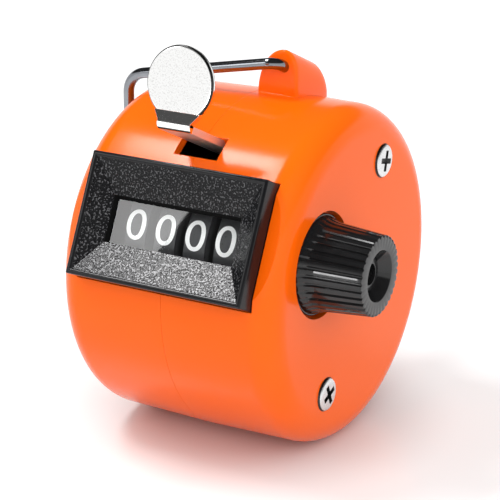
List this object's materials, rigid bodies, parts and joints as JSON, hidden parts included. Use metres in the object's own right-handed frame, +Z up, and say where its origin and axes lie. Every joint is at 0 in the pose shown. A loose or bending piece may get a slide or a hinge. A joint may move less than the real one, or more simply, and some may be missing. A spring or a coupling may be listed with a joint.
{
  "type": "hand tally counter",
  "caption": "Hand tally counter: a moulded drum case with a sloped window over number wheels, a thumb lever, a ribbed reset knob and a wire finger loop.",
  "frame": {"origin": "middle of the flat that the drum stands on, under the parting plane of the two shells", "axes": "+X along the drum axis towards the reset knob, -Y towards the display, +Z up"},
  "size_m": [0.0436, 0.0659, 0.0556],
  "materials": {
    "orange_plastic": "glossy moulded ABS",
    "black_plastic": "grained moulded ABS",
    "knob_plastic": "satin moulded plastic",
    "wheel_plastic": "moulded plastic with printed digits",
    "clear_plastic": "clear acrylic",
    "plated_steel": "bright nickel plate",
    "zinc_steel": "zinc plated",
    "frame_steel": "plain stamped steel",
    "spring_steel": "spring wire",
    "bronze": "spring bronze"
  },
  "bodies": {
    "case": {"right_shell": "orange_plastic", "left_shell": "orange_plastic", "bezel": "black_plastic", "window_lens": "clear_plastic", "case_screws": "zinc_steel", "finger_loop": "plated_steel", "left_plate": "frame_steel", "right_plate": "frame_steel", "frame_posts": "frame_steel", "lever_pin": "frame_steel", "detent_comb": "bronze", "return_spring": "spring_steel"},
    "lever": {"thumb_lever": "plated_steel", "spring_pin": "frame_steel", "pawl_pin": "frame_steel"},
    "pawl": {"feed_pawl": "frame_steel"},
    "reset": {"reset_shaft": "frame_steel", "reset_knob": "knob_plastic", "shaft_clip": "spring_steel", "shaft_washer": "bronze"},
    "units_wheel": {"units_wheel": "wheel_plastic"},
    "tens_wheel": {"tens_wheel": "wheel_plastic"},
    "hundreds_wheel": {"hundreds_wheel": "wheel_plastic"},
    "thousands_wheel": {"thousands_wheel": "wheel_plastic"}
  },
  "joints": [
    {"name": "lever_press", "type": "hinge", "parent": "case", "child": "lever", "pos_m": [0, -0.00385, 0.03643], "axis": [1, 0, 0], "range_deg": [0, 9.3], "stiffness_Nm_per_rad": 0.2, "springref_deg": -17.19, "deforming": ["return_spring"]},
    {"name": "pawl_engage", "type": "hinge", "parent": "lever", "child": "pawl", "pos_m": [0, -0.0055, 0.01365], "axis": [-1, 0, 0], "range_deg": [0, 4.5], "stiffness_Nm_per_rad": 0.002, "springref_deg": -17.19},
    {"name": "reset_turn", "type": "hinge", "parent": "case", "child": "reset", "pos_m": [0, -0.00962, 0.02734], "axis": [1, 0, 0], "continuous": true},
    {"name": "units_turn", "type": "hinge", "parent": "case", "child": "units_wheel", "pos_m": [0, -0.00962, 0.02734], "axis": [1, 0, 0], "continuous": true},
    {"name": "tens_turn", "type": "hinge", "parent": "case", "child": "tens_wheel", "pos_m": [0, -0.00962, 0.02734], "axis": [1, 0, 0], "continuous": true},
    {"name": "hundreds_turn", "type": "hinge", "parent": "case", "child": "hundreds_wheel", "pos_m": [0, -0.00962, 0.02734], "axis": [1, 0, 0], "continuous": true},
    {"name": "thousands_turn", "type": "hinge", "parent": "case", "child": "thousands_wheel", "pos_m": [0, -0.00962, 0.02734], "axis": [1, 0, 0], "continuous": true}
  ]
}
